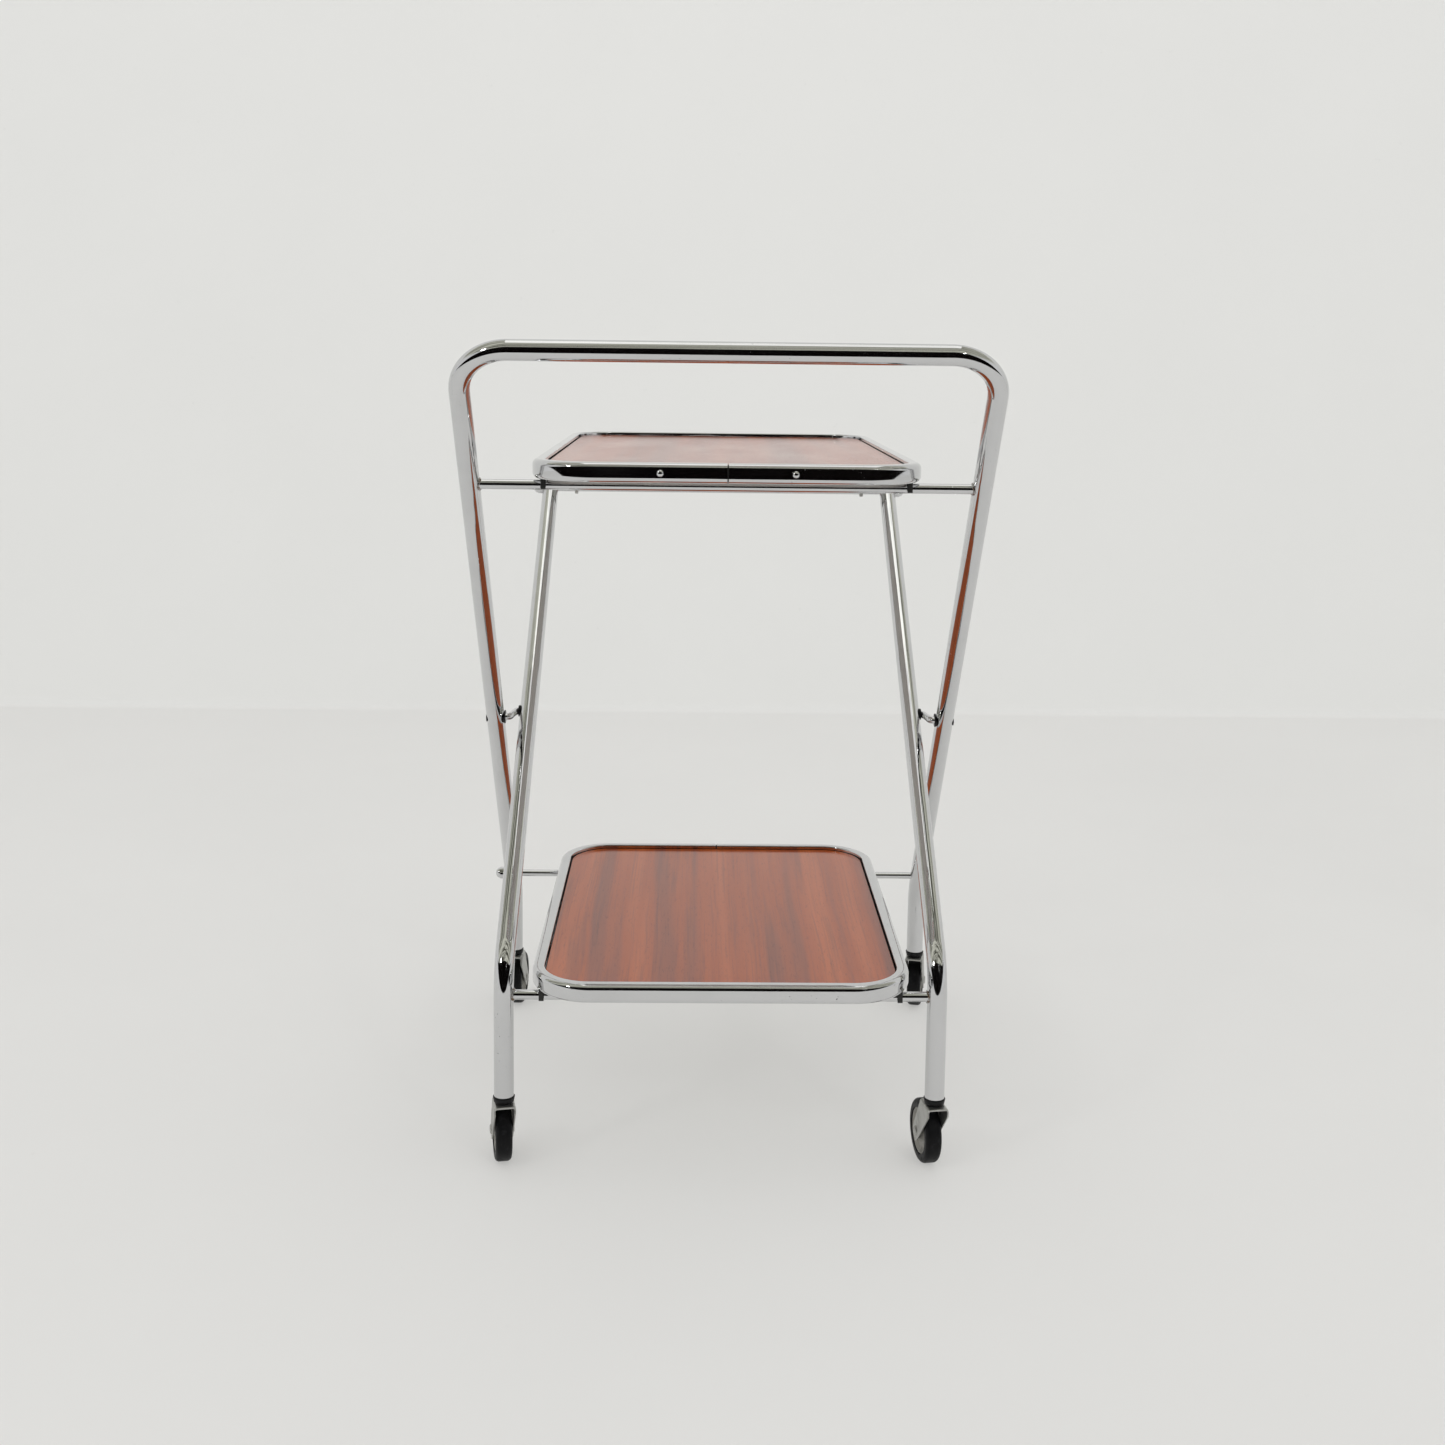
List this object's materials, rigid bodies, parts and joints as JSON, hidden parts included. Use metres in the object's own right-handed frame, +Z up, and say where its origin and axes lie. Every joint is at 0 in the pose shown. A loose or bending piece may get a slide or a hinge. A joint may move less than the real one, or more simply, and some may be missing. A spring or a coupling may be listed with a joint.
{
  "type": "folding serving trolley",
  "caption": "Folding serving trolley: crossed chromed tube frames, an upper and a lower tray with laminated boards that lift as it folds, and swivel castors.",
  "frame": {"origin": "on the floor, under the middle of the trolley's outline", "axes": "+Z up; -Y towards the handle, where the user stands; +X to the right seen from the handle"},
  "size_m": [0.544, 0.6436, 0.834],
  "materials": {
    "chrome_tube": "polished chrome plate",
    "chrome_rim": "polished chrome plate",
    "plated_steel": "zinc plated, dull",
    "laminate": "red-brown wood laminate, satin",
    "black_plastic": "moulded black",
    "grey_plastic": "moulded grey",
    "black_rubber": "matt rubber"
  },
  "bodies": {
    "outer_frame": {"handle_frame": "chrome_tube", "handle_crossbar": "chrome_tube", "lower_hinge_rod": "chrome_tube", "lower_hinge_nuts": "chrome_tube", "pivot_bushes": "black_plastic", "far_left_castor_socket": "black_plastic", "far_right_castor_socket": "black_plastic"},
    "inner_frame": {"inner_leg_left": "chrome_tube", "inner_leg_right": "chrome_tube", "inner_leg_caps": "black_plastic", "inner_crossbar": "chrome_tube", "upper_hinge_rod": "chrome_tube", "upper_hinge_nuts": "chrome_tube", "pivot_pin_left": "chrome_tube", "pivot_pin_right": "chrome_tube", "pivot_collars": "black_plastic", "near_left_castor_socket": "black_plastic", "near_right_castor_socket": "black_plastic"},
    "top_tray": {"top_tray_rim": "chrome_rim", "top_tray_rim_splice": "plated_steel", "top_tray_rim_rivets": "chrome_rim", "top_tray_board": "laminate", "top_tray_board_clips": "plated_steel", "top_tray_board_screws": "plated_steel", "top_tray_lug_left": "plated_steel", "top_tray_lug_right": "plated_steel", "top_tray_catch_left": "plated_steel", "top_tray_catch_right": "plated_steel"},
    "lower_tray": {"lower_tray_rim": "chrome_rim", "lower_tray_rim_splice": "plated_steel", "lower_tray_rim_rivets": "chrome_rim", "lower_tray_board": "laminate", "lower_tray_board_clips": "plated_steel", "lower_tray_board_screws": "plated_steel", "lower_tray_lug_left": "plated_steel", "lower_tray_lug_right": "plated_steel", "lower_tray_catch_left": "plated_steel", "lower_tray_catch_right": "plated_steel"},
    "near_left_castor": {"near_left_castor_fork": "plated_steel", "near_left_castor_stem": "plated_steel", "near_left_castor_axle": "plated_steel"},
    "near_left_wheel": {"near_left_castor_hub": "grey_plastic", "near_left_castor_tyre": "black_rubber"},
    "near_right_castor": {"near_right_castor_fork": "plated_steel", "near_right_castor_stem": "plated_steel", "near_right_castor_axle": "plated_steel"},
    "near_right_wheel": {"near_right_castor_hub": "grey_plastic", "near_right_castor_tyre": "black_rubber"},
    "far_left_castor": {"far_left_castor_fork": "plated_steel", "far_left_castor_stem": "plated_steel", "far_left_castor_axle": "plated_steel"},
    "far_left_wheel": {"far_left_castor_hub": "grey_plastic", "far_left_castor_tyre": "black_rubber"},
    "far_right_castor": {"far_right_castor_fork": "plated_steel", "far_right_castor_stem": "plated_steel", "far_right_castor_axle": "plated_steel"},
    "far_right_wheel": {"far_right_castor_hub": "grey_plastic", "far_right_castor_tyre": "black_rubber"}
  },
  "joints": [
    {"name": "frame_fold", "type": "hinge", "parent": "outer_frame", "child": "inner_frame", "pos_m": [0, -0.01613, 0.417], "axis": [1, 0, 0], "range_deg": [0, 74]},
    {"name": "top_tray_lift", "type": "hinge", "parent": "inner_frame", "child": "top_tray", "pos_m": [0, 0.29632, 0.64736], "axis": [1, 0, 0], "range_deg": [-164, 0]},
    {"name": "lower_tray_lift", "type": "hinge", "parent": "outer_frame", "child": "lower_tray", "pos_m": [0, 0.15461, 0.182], "axis": [1, 0, 0], "range_deg": [-54, 0]},
    {"name": "near_left_swivel", "type": "hinge", "parent": "inner_frame", "child": "near_left_castor", "pos_m": [-0.217, -0.23994, 0.06], "axis": [0, 0, 1], "continuous": true},
    {"name": "near_left_roll", "type": "hinge", "parent": "near_left_castor", "child": "near_left_wheel", "pos_m": [-0.22196, -0.21442, 0.032], "axis": [0.9816, 0.1908, 0], "continuous": true},
    {"name": "near_right_swivel", "type": "hinge", "parent": "inner_frame", "child": "near_right_castor", "pos_m": [0.217, -0.23994, 0.06], "axis": [0, 0, 1], "continuous": true},
    {"name": "near_right_roll", "type": "hinge", "parent": "near_right_castor", "child": "near_right_wheel", "pos_m": [0.21293, -0.21426, 0.032], "axis": [0.9877, 0.1564, 0], "continuous": true},
    {"name": "far_left_swivel", "type": "hinge", "parent": "outer_frame", "child": "far_left_castor", "pos_m": [-0.251, 0.17132, 0.06], "axis": [0, 0, 1], "continuous": true},
    {"name": "far_left_roll", "type": "hinge", "parent": "far_left_castor", "child": "far_left_wheel", "pos_m": [-0.24919, 0.19725, 0.032], "axis": [0.9976, -0.0698, 0], "continuous": true},
    {"name": "far_right_swivel", "type": "hinge", "parent": "outer_frame", "child": "far_right_castor", "pos_m": [0.251, 0.17132, 0.06], "axis": [0, 0, 1], "continuous": true},
    {"name": "far_right_roll", "type": "hinge", "parent": "far_right_castor", "child": "far_right_wheel", "pos_m": [0.25641, 0.19675, 0.032], "axis": [0.9781, -0.2079, 0], "continuous": true}
  ],
  "couplings": [
    {"joint": "top_tray_lift", "follows": "frame_fold", "ratio": -2.2162},
    {"joint": "lower_tray_lift", "follows": "frame_fold", "ratio": -0.72973}
  ]
}
